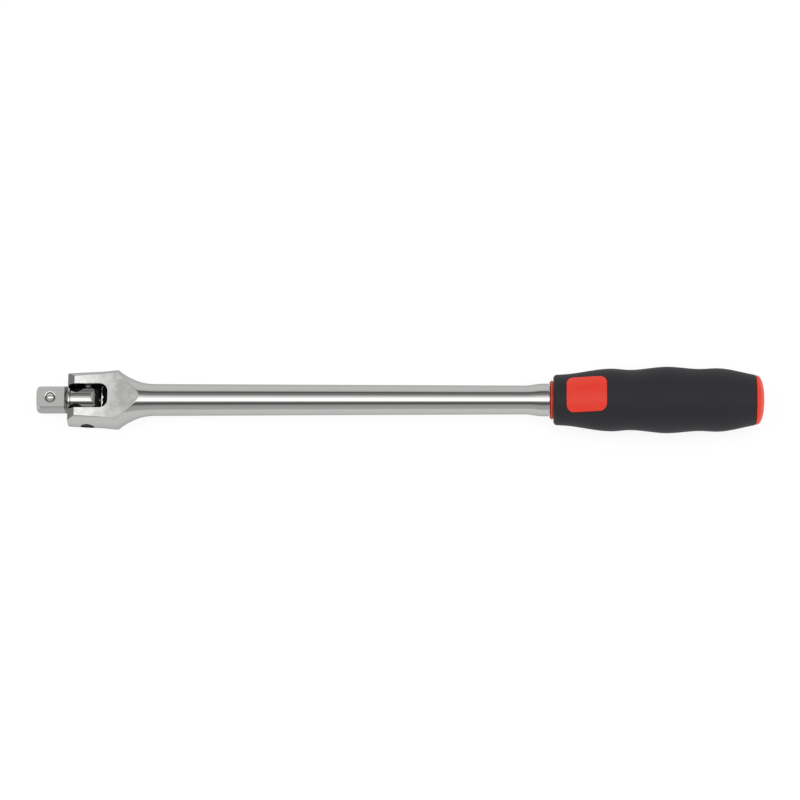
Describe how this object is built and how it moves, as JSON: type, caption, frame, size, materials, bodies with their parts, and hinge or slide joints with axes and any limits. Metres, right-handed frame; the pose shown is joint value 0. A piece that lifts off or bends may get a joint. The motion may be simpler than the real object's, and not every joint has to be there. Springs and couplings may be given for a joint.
{
  "type": "breaker bar",
  "caption": "Long chrome turning bar with a swivelling square drive pinned in a forged fork and a two-colour soft grip.",
  "frame": {"origin": "centre of the square drive's end face, with the head straight", "axes": "+X along the bar from the drive to the handle, Y along the pivot pin, +Z out of the fork's flat on the drive ball's side"},
  "size_m": [0.4, 0.0366, 0.0366],
  "materials": {
    "polished_chrome": "polished chrome plate, satin on the milled flats",
    "spring_steel": "oiled dark steel",
    "bearing_steel": "bright hardened steel",
    "red_plastic": "satin moulded plastic",
    "black_rubber": "fine matt moulded elastomer"
  },
  "bodies": {
    "bar": {"bar": "polished_chrome", "pivot_pin": "spring_steel", "pin_ring_left": "spring_steel", "pin_ring_right": "spring_steel", "hinge_plunger_spring": "spring_steel", "handle_core": "red_plastic", "grip_sleeve": "black_rubber", "end_cap": "red_plastic"},
    "drive": {"swivel_drive": "polished_chrome", "drive_ball_spring": "spring_steel"},
    "ball": {"drive_ball": "bearing_steel"},
    "plunger": {"hinge_plunger": "bearing_steel"}
  },
  "joints": [
    {"name": "drive_swivel", "type": "hinge", "parent": "bar", "child": "drive", "pos_m": [0.028, 0, 0], "axis": [0, 1, 0], "range_deg": [-100, 100]},
    {"name": "ball_press", "type": "slide", "parent": "drive", "child": "ball", "axis": [0, 0, 1], "range_m": [-0.001, 0], "stiffness_N_per_m": 1500, "springref_m": 0.0015, "deforming": ["drive_ball_spring"]},
    {"name": "plunger_press", "type": "slide", "parent": "bar", "child": "plunger", "axis": [1, 0, 0], "range_m": [0, 0.0008], "stiffness_N_per_m": 1500, "springref_m": -0.0015, "deforming": ["hinge_plunger_spring"]}
  ]
}
